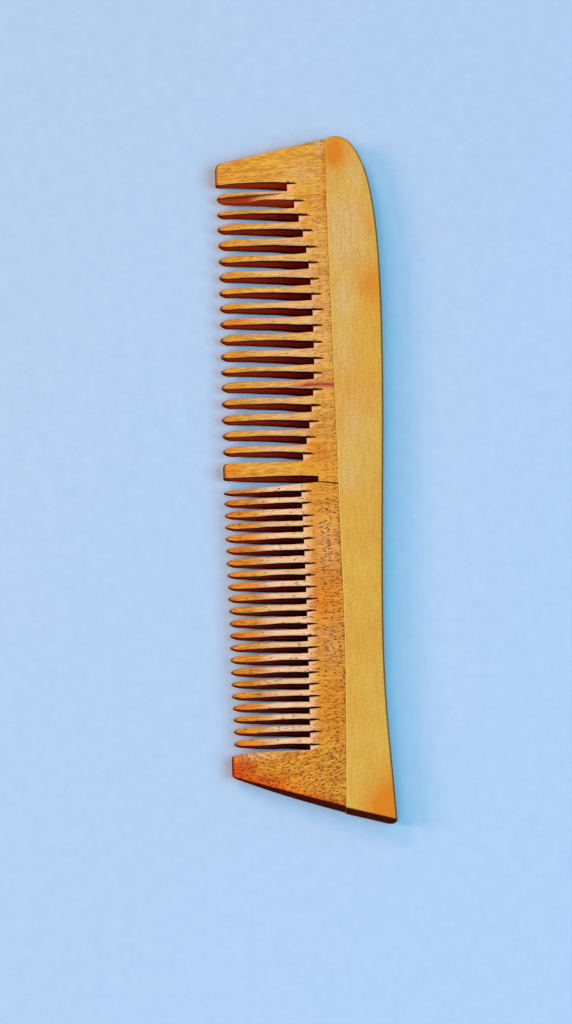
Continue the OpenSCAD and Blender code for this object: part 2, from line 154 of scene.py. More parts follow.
def sheet_board(cuts, tips, first_edge, last_edge, first_root, last_root, heel, slip=None):
    """Upper sheet of a board, column by column down the comb, row by row from the tips
    to the joint. Teeth have all the rows, and the wood past a cut has those from its end.
    A tip is its place, its upper radius or None for a round nose, and its lower radius."""
    tooth_f = np.array([0.75 * 0.5 * (1 - math.cos(a)) + 0.25 * a / math.pi
                        for a in np.linspace(0, math.pi, 13)])
    s = np.linspace(0, 1, TOOTH_ROWS + 1)
    along = 0.55 * s + 0.45 * 0.5 * (1 - np.cos(math.pi * s))
    t = np.linspace(0, 1, BODY_ROWS + 1)[1:]
    beyond = 0.5 * t + 0.5 * t ** 2.2
    columns = []
    for j in range(len(cuts) + 1):
        over = cuts[j - 1] if j else None
        under = cuts[j] if j < len(cuts) else None
        high = (lambda x, c=over: c.wall(x, -1)) if over else first_edge
        low = (lambda x, c=under: c.wall(x, 1)) if under else last_edge
        roots = (over.root if over else first_root, under.root if under else last_root)
        tip, high_r, low_r = tips[j]
        slipped = slip is not None and j == 1
        fs = np.sort(np.append(tooth_f, SLIP_COLUMNS)) if slipped else tooth_f

        def share(f, x, slipped=slipped):
            """How far down the tooth a column lies. The slipped tooth has its columns
            gathered along the line of the slip."""
            if not slipped:
                return f
            line = slip(x)[0]
            return np.where(f < 0.5, 2 * f * line, line + (2 * f - 1) * (1 - line))

        for f in fs:
            root = roots[0] + (roots[1] - roots[0]) * f
            if high_r is None:
                start = tip + low_r * (1 - math.sqrt(1 - (1 - 2 * f) ** 2))
            else:
                wide = float(high(TIP_X) - low(TIP_X))
                part = float(share(f, TIP_X))
                near = min(1, part * wide / high_r), min(1, (1 - part) * wide / low_r)
                start = tip + sum(r * (1 - math.sqrt(1 - (1 - d) ** 2))
                                  for r, d in zip((high_r, low_r), near))
            x = start + (root - start) * along
            y = high(x) + (low(x) - high(x)) * share(f, x)
            joint = through(JOINT, y[-1]) - GLUE_ASIDE
            for _ in range(3):
                bx = root + (joint - root) * beyond
                by = high(bx) + (low(bx) - high(bx)) * share(f, bx)
                joint = through(JOINT, by[-1]) - GLUE_ASIDE
            x, y = np.concatenate([x, bx]), np.concatenate([y, by])
            filed = [c.hollow(x, y) for c in (over, under) if c]
            took, steep, rubbed = (np.max(v, axis=0) for v in zip(*filed))
            if slipped:
                _, depth, shelf = slip(x)
                lower = np.clip((f - BELOW_SLIP) / (1 - BELOW_SLIP), 0, 1)
                groove = depth * (1 - shelf * lower) * (f > 0.5)
                # The slip's groove, and the facet where the slip took the lower wood away near the
                # tip, are painted dark as shade
                dark = np.maximum(2 * ease(0.05, 0.3, groove) * (f < 0.52),
                                  (1 - shelf) * (f > 0.5))
                took = np.stack([took + groove, took])
                steep = np.stack([np.maximum(steep, dark), steep])
            columns.append(Column(0, x, y, took, steep, rubbed, tip, f, j))
        if under or heel:
            if under:
                root = under.root
                upper, lower = under.wall(root, 1), under.wall(root, -1)
            else:
                root, upper = last_root, last_edge(np.array([last_root + 0.01]))[0]
            # The vee's floor line is a column of its own
            spread = [0.09, VEE_AT, 0.25, 0.34, 0.45, 0.56, 0.67, 0.78, 0.89]
            for f in spread if under else [0.2, 0.4, 0.6, 0.8, 1.0]:
                joint = through(JOINT, np.array([upper]))[0] - GLUE_ASIDE
                bx = np.concatenate([[root], root + (joint - root) * beyond])
                if under:
                    floor = under.floor(bx)
                    by = np.where(f <= VEE_AT, upper + (floor - upper) * f / VEE_AT,
                                  floor + (lower - floor) * (f - VEE_AT) / (1 - VEE_AT))
                    filed = under.hollow(bx, by)
                else:
                    by = upper + (heel(bx) - upper) * f
                    filed = [0 * bx] * 3
                blank = np.zeros(TOOTH_ROWS)
                columns.append(Column(
                    TOOTH_ROWS, *(np.concatenate([blank, v]) for v in (bx, by, *filed)),
                    -99.0, -1.0, j))
    return columns


def outline_of(quads):
    """The edge of a sheet of quads, as one closed loop of point numbers."""
    used = set()
    for q in quads:
        used.update(zip(q, q[1:] + q[:1]))
    following = {a: b for a, b in used if (b, a) not in used}
    loop = [min(following)]
    while following[loop[-1]] != loop[0]:
        loop.append(following[loop[-1]])
    assert len(loop) == len(following)
    return loop


def outward_along(outline):
    """Level direction that points out of a closed outline at each of its points."""
    tangent = 0
    for step in (np.roll(outline, -1, 0) - outline, outline - np.roll(outline, 1, 0)):
        step[:, 2] = 0
        tangent = tangent + step / np.maximum(np.linalg.norm(step, axis=1), 1e-9)[:, None]
    tangent /= np.maximum(np.linalg.norm(tangent, axis=1), 1e-9)[:, None]
    return np.stack([tangent[:, 1], -tangent[:, 0]], 1)


# Where the faces start to fall towards the tips, and how late the upper and the lower do
FALL_X, FALL_POWER, UNDER_POWER = 5.0, 1.45, 2.4
# Rounded noses of the teeth and of the two guards, seen from the side, and where they start
TOOTH_NOSE, GUARD_NOSE, NOSE_START = 2.5, 0.6, 0.14
# How far a tooth's face is rubbed down along its sides, and the least half thickness
CROWN, THINNEST = 0.05, 0.3


def solid_board(columns, fall, under_fall, round_of):
    """Closed board from its upper sheet: the same sheet turned over is the lower face,
    and a wall with a rounded arris runs round the outline. Also gives what each point is
    on, as one number per point for each kind of place."""
    rows = len(columns[0].x)
    index, top, under, column_row, steep, rubbed, tooth = {}, [], [], [], [], [], []
    for c, column in enumerate(columns):
        out_of_flat = np.maximum(0, FALL_X - column.x) / (FALL_X - TIP_X)
        lift = np.stack([MID - fall * out_of_flat ** FALL_POWER,
                         MID - under_fall * out_of_flat ** UNDER_POWER])
        nose = GUARD_NOSE if column.tooth in (0, columns[-1].tooth) else TOOTH_NOSE
        q = np.clip((column.x - column.tip + NOSE_START) / nose, 0, 1)
        lift = lift * np.sqrt(1 - (1 - q) ** 2)
        if column.place >= 0 and 0 < column.tooth:
            lift = lift - CROWN * (2 * column.place - 1) ** 2 * (1 - ease(-2, 3, column.x))
        lift = np.maximum(lift - column.hollow, THINNEST)
        on_steep = np.broadcast_to(column.steep, lift.shape)
        for r in range(column.first, rows):
            index[c, r] = len(top)
            top.append((column.x[r], column.y[r], lift[0][r]))
            under.append(lift[1][r])
            column_row.append((c, r))
            steep.append(on_steep[:, r])
            rubbed.append(column.rubbed[r])
            tooth.append(column.tooth)
    top = np.array(top)
    quads = []
    for c in range(len(columns) - 1):
        for r in range(max(columns[c].first, columns[c + 1].first), rows - 1):
            quads.append((index[c, r], index[c + 1, r], index[c + 1, r + 1], index[c, r + 1]))
    loop = outline_of(quads)
    outline = top[loop].copy()
    out = outward_along(outline)
    kinds = [("tip" if r == 0 else "end" if c in (0, len(columns) - 1) else
              "joint" if r == rows - 1 else "sawn") for c, r in (column_row[v] for v in loop)]
    radius = np.array([round_of(kind, top[v]) for kind, v in zip(kinds, loop)])
    n = len(top)
    under = np.array(under)
    radius = np.minimum(radius, np.minimum(outline[:, 2], under[loop]) * 0.8)
    top[loop, :2] -= out * radius[:, None]
    points = [np.column_stack([top[:, :2], MID + top[:, 2]]),
              np.column_stack([top[:, :2], MID - under])]
    # Rings of the wall, from the upper arris down: share of the radius in from the outline,
    # share of it down from the face, and the height between the middle and that face
    turns = [(1 - math.sin(a), 1 - math.cos(a)) for a in (math.pi / 6, math.pi / 3, math.pi / 2)]
    levels = [(s, d, 1.0) for s, d in turns] + [(0, 1, 0.33), (0, 1, -0.33)] + [
        (s, d, -1.0) for s, d in reversed(turns)]
    total = 2 * n
    rings = [np.array(loop)]
    for aside, down, part in levels:
        edge = outline[:, 2] if part > 0 else under[loop]
        height = (edge - down * radius) * part
        points.append(np.column_stack([outline[:, :2] - out * (aside * radius)[:, None],
                                       MID + height]))
        rings.append(np.arange(total, total + len(loop)))
        total += len(loop)
    rings.append(np.array(loop) + n)
    faces = quads + [tuple(v + n for v in reversed(q)) for q in quads]
    for a, b in zip(rings, rings[1:]):
        for k in range(len(loop)):
            m = (k + 1) % len(loop)
            faces.append((int(a[k]), int(b[k]), int(b[m]), int(a[m])))
    on = {kind: np.zeros(total) for kind in ("sawn", "end", "tip", "edge_wear_and_highlight", "arris", "mid_wall")}
    on["tooth"] = np.array(list(tooth) * 2 + [tooth[v] for v in loop] * len(levels))
    # Steep vee sides and the slip's groove take the sawn walls' dark colour, painted shade
    on["sawn"][:2 * n] = np.concatenate(np.transpose(steep))
    # Rubbed vee sides and arrises: pale, partly wear and partly a painted highlight
    on["edge_wear_and_highlight"][:2 * n] = np.tile(rubbed, 2)
    depth_in = (0.0, 0.25, 0.7, 1.0, 1.0, 1.0, 1.0, 0.7, 0.25, 0.0)
    for kind in ("sawn", "end", "tip"):
        here = np.array([k == kind for k in kinds], float)
        for ring, part in zip(rings[1:-1], depth_in[1:-1]):
            on[kind][ring] = here * part
        for ring, part in zip(rings, depth_in):
            if kind != "tip":
                on["arris"][ring] += here * (1 - part)
    # A dark rim painted round each nose and on its first two rows, painted shade at the tips
    on["tip"][rings[0]] = on["tip"][rings[-1]] = [k == "tip" for k in kinds]
    for row, part in ((1, 0.9), (2, 0.35)):
        on["tip"][[v for (c, r), v in index.items() if r == row and columns[c].tip > -50]] = part
    on["sheet"] = np.arange(total) < 2 * n
    # The middle rings of each wall, which are painted a lighter red as light on the walls
    on["mid_wall"][np.concatenate(rings[4:6])] = 1.0
    return np.concatenate(points), faces, on


def past_cuts(points, cuts):
    """How far past the ends of the cuts each point lies."""
    ys, roots = np.array([(c.centre_y, c.root) for c in cuts])[::-1].T
    return points[:, 0] - np.interp(points[:, 1] + LEAN * (points[:, 0] - LEAN_X), ys, roots)


def spots(points, rows):
    """Soft spots at given places: (x, y, how far across, how far along, strength)."""
    field = np.zeros(len(points))
    for x, y, across, along, strength in rows:
        d = ((points[:, 0] - x) / across) ** 2 + ((points[:, 1] - y) / along) ** 2
        field = np.maximum(field, strength * np.exp(-d))
    return field


MM = 0.001


def piece_from(name, points_mm, faces, attributes, material, sharp_deg):
    """A mesh object from points in millimetres, with one number per point for each attribute."""
    mesh = bpy.data.meshes.new(name)
    mesh.from_pydata((np.asarray(points_mm) * MM).tolist(), [], faces)
    mesh.polygons.foreach_set("use_smooth", [True] * len(mesh.polygons))
    mesh.set_sharp_from_angle(angle=math.radians(sharp_deg))
    for key, values in attributes.items():
        mesh.attributes.new(key, "FLOAT", "POINT").data.foreach_set(
            "value", np.asarray(values, np.float32))
    mesh.validate()
    made = bpy.data.objects.new(name, mesh)
    bpy.context.scene.collection.objects.link(made)
    made.data.materials.append(material)
    return made


def linear(hex_colour):
    """An sRGB hex colour as linear red, green, blue and alpha."""
    parts = [int(hex_colour[k:k + 2], 16) / 255 for k in (1, 3, 5)]
    return [p / 12.92 if p <= 0.04045 else ((p + 0.055) / 1.055) ** 2.4 for p in parts] + [1.0]


def add(tree, kind, sockets=None, ramp=None, give=0, **settings):
    """Adds one node: its settings, then a value or a link for each socket. Returns the
    output that give names, or the node itself where it has none."""
    made = tree.nodes.new(kind)
    for name, value in settings.items():
        setattr(made, name, value)
    if ramp:
        elements = made.color_ramp.elements
        while len(elements) < len(ramp):
            elements.new(0.5)
        for element, (place, colour) in zip(elements, ramp):
            element.position = place
            element.color = linear(colour) if isinstance(colour, str) else [colour] * 3 + [1]
    for name, value in (sockets or {}).items():
        if isinstance(value, bpy.types.NodeSocket):
            tree.links.new(value, made.inputs[name])
        else:
            made.inputs[name].default_value = linear(value) if isinstance(value, str) else value
    return made.outputs[give] if len(made.outputs) else made


def new_material(name):
    material = bpy.data.materials.new(name)
    material.use_nodes = True
    material.node_tree.nodes.clear()
    return material, material.node_tree


# Settings of a node that lays one colour over another, 6 under and 7 over, by the mask in 0
COLOURS = {"data_type": "RGBA", "give": 2}
# Freshly sawn end grain, almost black to red-brown: darker than real end grain, as painted
# shade on the end faces and noses
END_GRAIN_AND_SHADE = ("#2c0802", "#64200a")


def board_wood(name, yellow, orange, deep, pore_colour, wave, pore_gain, streak=None):
    """Close-grained hardwood, sawn across the comb, filed and rubbed with oil. To the eye:
    fine fibres that run along the teeth with pores as short dark dashes, warm patches,
    cream where the teeth are rubbed thin, red-brown where the saw left the walls raw.
    The walls, steep sides, end faces and noses are darkened towards black as painted shade
    and lifted towards red by painted light, and the rubbed arrises carry a pale painted
    highlight besides their wear. Real fibres and pores would be too fine to show, so
    they are drawn coarser than they are."""
    material, tree = new_material(name)
    mark = {key: add(tree, "ShaderNodeAttribute", give="Fac", attribute_name=key)
            for key in ("slant", "orange_wood", "cream_wood", "pore_rich", "edge_wear_and_highlight",
                        "painted_red_light", "sawn", "end_grain_and_shade")}
    # Along the grain: X stretched, Y leaning with the wood and wandering by wave
    place = add(tree, "ShaderNodeTexCoord", give="Object")
    split = add(tree, "ShaderNodeSeparateXYZ", {0: place}).node.outputs
    wander = add(tree, "ShaderNodeTexNoise", {"Vector": place, "Scale": 0.16 / MM, "Detail": 2.0})
    lean = add(tree, "ShaderNodeMath", {0: mark["slant"], 1: split["X"]}, operation="MULTIPLY")
    flow_y = add(tree, "ShaderNodeMath", {0: split["Y"], 1: lean}, operation="SUBTRACT")
    flow_y = add(tree, "ShaderNodeMath", {0: wander, 1: wave * MM, 2: flow_y},
                 operation="MULTIPLY_ADD")
    flow = add(tree, "ShaderNodeCombineXYZ", {0: split["X"], 1: flow_y, 2: split["Z"]})
    fibre_at, band_at = [
        add(tree, "ShaderNodeMapping", {"Vector": flow, "Scale": (stretch, 1.0, 0.6)})
        for stretch in (0.14, 0.06)]
    # 2.9 fibres and 0.8 bands to the millimetre, in warm and pale patches 10 mm across
    fibres = add(tree, "ShaderNodeTexNoise", {"Vector": fibre_at, "Scale": 2.9 / MM,
                                              "Detail": 3.0, "Roughness": 0.7})
    bands = add(tree, "ShaderNodeTexNoise", {"Vector": band_at, "Scale": 0.8 / MM, "Detail": 2.0})
    patch = add(tree, "ShaderNodeTexNoise", {"Vector": place, "Scale": 0.095 / MM, "Detail": 2.0})
    tone = add(tree, "ShaderNodeMix", {0: 0.7, 2: bands, 3: fibres})
    light = add(tree, "ShaderNodeValToRGB", {0: tone}, ramp=[(0.42, 0.0), (0.56, 1.0)])
    warm = add(tree, "ShaderNodeMath", {0: mark["orange_wood"], 1: 0.42}, operation="SUBTRACT")
    warm = add(tree, "ShaderNodeMath", {0: patch, 1: 0.9, 2: warm}, operation="MULTIPLY_ADD")
    hot = add(tree, "ShaderNodeMath", {0: warm, 1: 0.85}, operation="SUBTRACT", use_clamp=True)
    colour = add(tree, "ShaderNodeMix", {0: warm, 6: yellow, 7: orange}, **COLOURS)
    colour = add(tree, "ShaderNodeMix", {0: hot, 6: colour, 7: "#e2560a"}, **COLOURS)
    dark = add(tree, "ShaderNodeMix", {0: hot, 6: deep, 7: "#8e2602"}, **COLOURS)
    dark = add(tree, "ShaderNodeMix", {0: 0.75, 6: colour, 7: dark}, **COLOURS)
    colour = add(tree, "ShaderNodeMix", {0: light, 6: dark, 7: colour}, **COLOURS)
    cream = add(tree, "ShaderNodeMath", {0: fibres, 1: 1.6, 2: 0.1}, operation="MULTIPLY_ADD")
    cream = add(tree, "ShaderNodeMath", {0: mark["cream_wood"], 1: cream}, operation="MULTIPLY",
                use_clamp=True)
    colour = add(tree, "ShaderNodeMix", {0: cream, 6: colour, 7: "#f3c79e"}, **COLOURS)
    # Pores of three sizes: how many to the millimetre, how much of that is left along the
    # grain, which makes them long, and how wide they are
    pores = 0.0
    for per_mm, squeeze, size in ((1.15, 0.42, 0.14), (1.5, 0.38, 0.16), (0.8, 0.3, 0.1)):
        at = add(tree, "ShaderNodeMapping", {"Vector": flow, "Scale": (squeeze, 1.0, 1.0),
                                             "Location": (per_mm, 0.3, 0.1)})
        cell = add(tree, "ShaderNodeTexVoronoi", {"Vector": at, "Scale": per_mm / MM},
                   voronoi_dimensions="2D").node.outputs
        dash = add(tree, "ShaderNodeMapRange", {0: cell["Distance"], 1: size * 1.5,
                                                2: size * 0.6})
        some = add(tree, "ShaderNodeSeparateColor", {0: cell["Color"]})
        some = add(tree, "ShaderNodeMath", {0: some, 1: mark["pore_rich"]}, operation="LESS_THAN")
        dash = add(tree, "ShaderNodeMath", {0: dash, 1: some}, operation="MULTIPLY")
        pores = add(tree, "ShaderNodeMath", {0: pores, 1: dash}, operation="MAXIMUM")
    pores = add(tree, "ShaderNodeMath", {0: pores, 1: pore_gain}, operation="MULTIPLY",
                use_clamp=True)
    colour = add(tree, "ShaderNodeMix", {0: pores, 6: colour, 7: pore_colour}, **COLOURS)
    if streak:
        # A red mineral streak along the grain, at this height and from this place inwards
        streak_y, streak_x = streak
        off = add(tree, "ShaderNodeMath", {0: split["Y"], 1: streak_y * MM}, operation="SUBTRACT")
        off = add(tree, "ShaderNodeMath", {0: wander, 1: 1.2 * MM, 2: off},
                  operation="MULTIPLY_ADD")
        off = add(tree, "ShaderNodeMath", {0: off}, operation="ABSOLUTE")
        reach = add(tree, "ShaderNodeMapRange", {0: split["X"], 1: streak_x * MM,
                                                 2: (streak_x + 5) * MM})
        broken = add(tree, "ShaderNodeMath", {0: fibres, 1: 3.2, 2: -0.8},
                     operation="MULTIPLY_ADD", use_clamp=True)
        broken = add(tree, "ShaderNodeMath", {0: broken, 1: reach}, operation="MULTIPLY")
        for width, stain in ((1.6, "#cc6a48"), (0.6, "#96281c")):
            band = add(tree, "ShaderNodeMapRange", {0: off, 1: width * MM, 2: 0.3 * width * MM})
            band = add(tree, "ShaderNodeMath", {0: band, 1: broken}, operation="MULTIPLY")
            colour = add(tree, "ShaderNodeMix", {0: band, 6: colour, 7: stain}, **COLOURS)
    # Rubbed arrises and vee sides, pale: partly wear and partly a painted highlight
    colour = add(tree, "ShaderNodeMix", {0: mark["edge_wear_and_highlight"], 6: colour, 7: "#f4cd9c"}, **COLOURS)
    rough = add(tree, "ShaderNodeMapRange", {0: fibres, 3: 0.42, 4: 0.62})
    height = add(tree, "ShaderNodeMath", {0: pores, 1: -0.9, 2: fibres}, operation="MULTIPLY_ADD")
    bump = add(tree, "ShaderNodeBump", {"Strength": 0.5, "Distance": 0.14 * MM, "Height": height})
    rubbed = add(tree, "ShaderNodeBsdfPrincipled",
                 {"Base Color": colour, "Roughness": rough, "Normal": bump,
                  "Specular IOR Level": 0.15})
    # Raw faces are matt: saw walls with 1.5 ripples to the millimetre, and end grain. Their
    # near-black to red colours are partly painted shade, and painted light lifts the walls to red
    ripple = add(tree, "ShaderNodeMapping", {"Vector": place, "Scale": (0.2, 0.5, 1.0)})
    saw = add(tree, "ShaderNodeTexNoise", {"Vector": ripple, "Scale": 1.5 / MM, "Detail": 2.0})
    # Painted light and shade on the walls: how far the saw ramp goes from near black towards red
    red = add(tree, "ShaderNodeMath", {0: mark["painted_red_light"], 1: 0.25}, operation="SUBTRACT")
    saw = add(tree, "ShaderNodeMath", {0: saw, 1: 0.5, 2: red}, operation="MULTIPLY_ADD",
              use_clamp=True)
    sawn = add(tree, "ShaderNodeValToRGB", {0: saw}, ramp=[
        (0.0, "#1e0402"), (0.3, "#440a03"), (0.62, "#8e1506"), (1.0, "#bc3716")])
    ends = add(tree, "ShaderNodeValToRGB", {0: fibres}, ramp=[
        (0.35, END_GRAIN_AND_SHADE[0]), (0.65, END_GRAIN_AND_SHADE[1])])
    raw = add(tree, "ShaderNodeMix", {0: mark["end_grain_and_shade"], 6: sawn, 7: ends}, **COLOURS)
    raw = add(tree, "ShaderNodeBsdfDiffuse", {"Color": raw, "Roughness": 0.6})
    is_raw = add(tree, "ShaderNodeMath", {0: mark["sawn"], 1: mark["end_grain_and_shade"]},
                 operation="MAXIMUM")
    surface = add(tree, "ShaderNodeMixShader", {0: is_raw, 1: rubbed, 2: raw})
    add(tree, "ShaderNodeOutputMaterial", {"Surface": surface})
    return material


# Coarse cuts, from the guard down: shift of each from its even place
COARSE_WANDER = [0.15, -0.35, 0.15, 0.15, -0.05, -0.05, -0.2, -0.05, 0,
                 0, -0.1, -0.2, 0.15, 0, 0.05, 0, 0.1, 0.15]
COARSE_FIRST, COARSE_PITCH, COARSE_MOUTH, COARSE_KERF, COARSE_TURN = 80.45, 4.49, 3.05, 1.75, 8
COARSE_ROOT_X = 3.4
# Filed-out shape of the cuts: place across, shift of the upper wall, of the lower wall
COARSE_HOLLOW = [(-21.5, -0.5, 0), (-19.6, -0.44, 0), (-18, -0.18, 0.03), (-15.9, -0.05, 0.05),
                 (-13.3, 0.03, 0.04), (-10.7, 0.08, -0.11), (-8, 0.14, -0.28),
                 (-5.4, 0.14, -0.38), (-2.8, 0.07, -0.38), (0, 0, -0.38), (4, 0, -0.34)]
# How far the upper and the lower face have fallen at the tips
COARSE_FALL, COARSE_UNDER_FALL = 2.35, 2.2
# Length of a tooth's nose seen from above, and where the end grain and painted shade of the
# tips fade out
NOSE_LENGTH, TIP_GRAIN_AND_SHADE = 4.2, (-21.2, -19.5)
# Numbers of the teeth from the top: the end guard, the first tooth, the dividing tooth
GUARD, FIRST_TOOTH, DIVIDER = 0, 1, len(COARSE_WANDER)


def coarse_root(y):
    """Where a coarse cut ends: further in near the middle of the coarse half."""
    away = y - 36.5
    bend = 5.9 * (away / 44.2) ** 3 if away > 0 else 3.65 * (-away / 32) ** 2.3
    return COARSE_ROOT_X - bend


def coarse_top(x):
    """The slanted end edge of the guard."""
    return 93.5 + 0.19 * (x - 8.3)


def divider_side(x):
    """The lower side of the dividing tooth."""
    return np.interp(x, [TIP_X, LEAN_X, -1.5, 3.4], [-0.9, -1.15, -1.35, -1.8])


def hairline(x):
    """The coarse board's side of the open hairline between the two boards."""
    return np.interp(x, [3.4, 5.8, 8.5], [-3.25, -3.46, -3.8])


def slip(x):
    """Where the saw slipped on the first tooth: place across the tooth, depth, and how much
    of the wood below the slip is left."""
    line = np.interp(x, [-21.5, -16.6, -3.6, 0.5], [0.5, 0.44, 0.2, 0.5])
    return line, 2.1 * np.clip((-3.4 - x) / 12, 0, 1) ** 0.7, ease(-13.5, -7.5, x)


def coarse_round(kind, point):
    """Radius of the arris at a point of the outline, by what the wall there is."""
    if kind == "joint":
        return 0.03
    if kind == "end":
        return 0.2 if point[1] > 50 or point[0] < 3 else 0.04
    return 0.05 + 0.12 * (1 - ease(TIP_X, TIP_X + 3, point[0]))


coarse_rng = random.Random(4)
coarse_cuts = []
for i, wander_mm in enumerate(COARSE_WANDER):
    y = COARSE_FIRST - i * COARSE_PITCH + wander_mm
    coarse_cuts.append(Cut(y, coarse_root(y + LEAN * LEAN_X), COARSE_MOUTH, COARSE_KERF,
                           COARSE_TURN, coarse_rng, COARSE_HOLLOW))
coarse_tips = [(TIP_X + 0.02, 1.5, 0.3)] + [
    (TIP_X + 0.35 - 0.25 * (i / DIVIDER) ** 2 + coarse_rng.uniform(-0.1, 0.1), None, NOSE_LENGTH)
    for i in range(DIVIDER - 1)] + [(TIP_X + 0.15, 1.1, 0.5)]
coarse_columns = sheet_board(
    coarse_cuts, coarse_tips, first_edge=coarse_top, last_edge=divider_side,
    first_root=coarse_cuts[0].root, last_root=COARSE_ROOT_X, heel=hairline, slip=slip)
points, faces, on = solid_board(coarse_columns, COARSE_FALL, COARSE_UNDER_FALL, coarse_round)
past = past_cuts(points, coarse_cuts)
x, y = points[:, 0], points[:, 1]
shade = np.random.default_rng(12).uniform(-0.13, 0.13, DIVIDER + 1)[on["tooth"].astype(int)]
narrow = (on["tooth"] > GUARD) * (on["tooth"] < DIVIDER) * (1 - ease(-1.0, 1.5, past))
first_tooth = on["tooth"] == FIRST_TOOTH
joint_gap = through(JOINT, y) - x
near_top = ease(55, 75, y)
# How much each point has of every finish: raw from the saw with painted shade, rubbed pale
# with a painted highlight, raw end grain with painted shade, painted red light and shade on
# the walls, lean of the grain, and orange, cream and porous wood
coarse_marks = {
    "sawn": np.minimum(np.maximum(on["sawn"], on["tip"]), 1),
    # Pale rubbed vee sides and arrises: partly wear, partly a painted highlight
    "edge_wear_and_highlight": np.maximum(on["edge_wear_and_highlight"] * (0.62 - 0.42 * ease(0.2, 4.5, past)),
                            0.5 * on["arris"] * (past < 1)),
    # Dark end grain at the noses and end faces, deepened as painted shade
    "end_grain_and_shade": np.maximum(on["tip"] * (1 - ease(*TIP_GRAIN_AND_SHADE, x)),
                            np.where(y > 50, 0.8 * np.minimum(1, 2.5 * on["end"]), on["end"])),
    # Painted light and shade on the walls: darker at the very tips and towards the roots, lighter in
    # the middle of each wall and on the first tooth and the guard, darker in the slip's groove
    "painted_red_light": 0.35 * ease(-21.2, -19, x) - 0.36 + 0.38 * (1 - ease(-13, 3.5, x))
                 + 0.5 * on["mid_wall"]
                 + (past < 0) * (0.5 * first_tooth + 0.2 * (on["tooth"] == GUARD))
                 + on["sheet"] * (0.2 * first_tooth - 1.3 * (on["sawn"] > 1)),
    "slant": np.full_like(x, 0.03),
    "orange_wood": 0.3 + shade + 0.3 * (1 - ease(-20.5, -12, x)) * narrow
                   + 0.55 * (1 - ease(0.6, 2.2, joint_gap)) * near_top
                   + spots(points, [(-19, 1.2, 3.5, 3.5, 0.6), (6, 25, 4, 3, 0.5), (5, 3, 6, 6, 0.5),
                                    (-16, 43, 4, 1.5, 0.6), (-20, 82, 2, 3, 0.4)]),
    "cream_wood": narrow * ease(-17, -6, x) * (0.3 + shade)
                  + spots(points, [(6.5, 91, 1.2, 2, 0.3), (1, 84, 5, 3, 0.2),
                                   (5.5, 45, 2.5, 30, 0.16)]),
    "pore_rich": 0.07 + 0.33 * ease(1.0, 4.5, x) * (y < 86)
                 + 0.4 * (1 - ease(0.3, 1.0 + 1.2 * near_top, joint_gap))}
# The paler board to the eye: yellow, fine pored, with one red mineral streak
coarse_wood = board_wood(
    "yellow_board_wood_sawn_filed_and_rubbed", yellow="#e2ac40", orange="#e88d1c",
    deep="#ac661e", pore_colour="#8a4c18", wave=0.5, pore_gain=0.75, streak=(24.2, -4.0))
coarse_board = piece_from("coarse_toothed_board", points, faces, coarse_marks, coarse_wood,
                          sharp_deg=42)
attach(coarse_board, "root")
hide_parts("coarse_board")

# Fine board: the fine half, a more orange and open-pored length of the same wood, sawn into
# close-set teeth down to the wide slanted guard at the end, filed and rubbed as the other.
FINE_WANDER = [0.15, 0.2, 0.1, 0.25, 0.2, 0.25, -0.05, 0.05, 0.1, 0.1, 0.05,
               -0.15, -0.2, -0.1, -0.25, -0.25, -0.15, -0.1, 0, 0.2, 0.2, 0.15]
FINE_FIRST, FINE_PITCH, FINE_MOUTH, FINE_KERF, FINE_TURN = -6.5, 3.24, 1.95, 1.35, 3
# Filed-out shape of the cuts: place across, shift of the upper wall, of the lower wall
FINE_HOLLOW = [(-21.5, -0.25, 0.1), (-19, -0.22, 0.15), (-16.9, -0.07, 0.18), (-14.9, -0.05, 0.2),
               (-12.8, 0, 0.22), (-10.3, 0.14, 0.18), (-7.7, 0.25, 0.16), (-5.1, 0.31, 0.14),
               (-3.1, 0.3, 0.13), (0, 0.26, 0.13)]
FINE_FALL, FINE_UNDER_FALL = 2.75, 3.05
# The guard comes after one tooth for each cut
FINE_GUARD = len(FINE_WANDER)


def fine_root(y):
    """Where a fine cut ends: further out towards the two ends of the fine half."""
    return -0.65 - 0.45 * ((y + 45) / 39) ** 2


def first_fine_side(x):
    """The upper side of the first fine tooth and, past it, of the hairline."""
    return np.interp(x, [TIP_X, -17.3, LEAN_X, 3.4, 5.8, 8.5],
                     [-4.4, -4.3, -4.1, -3.45, -3.74, -4.2])


def fine_end(x):
    """The slanted end edge of the guard, bowed a little outwards."""
    u = (x - TIP_X) / (8.3 - TIP_X)
    return -90.6 - 0.325 * (x - 8.3) - 0.2 * 4 * u * (1 - u)


def guard_side(x):
    """The guard's own upper side, which is the lower wall of the last cut."""
    return np.interp(x, [TIP_X, -19.3, -16, LEAN_X, -1], [-76, -75.4, -75.15, -75.2, -75.3])


def fine_round(kind, point):
    """Radius of the arris at a point of the outline, by what the wall there is."""
    if kind == "joint":
        return 0.03
    if kind == "end":
        return 0.12 if point[1] < -50 else 0.05
    return 0.04 + 0.1 * (1 - ease(TIP_X, TIP_X + 3, point[0]))


fine_rng = random.Random(7)
fine_cuts = []
for i, wander_mm in enumerate(FINE_WANDER):
    y = FINE_FIRST - i * FINE_PITCH + wander_mm
    fine_cuts.append(Cut(y, fine_root(y + LEAN * LEAN_X), FINE_MOUTH, FINE_KERF, FINE_TURN,
                         fine_rng, FINE_HOLLOW))
fine_tips = [(TIP_X + 0.25 + 1.05 * max(i - 1, 0) / FINE_GUARD + fine_rng.uniform(-0.1, 0.1),
              None, NOSE_LENGTH) for i in range(FINE_GUARD)] + [(TIP_X + 0.5, 0.3, 0.7)]
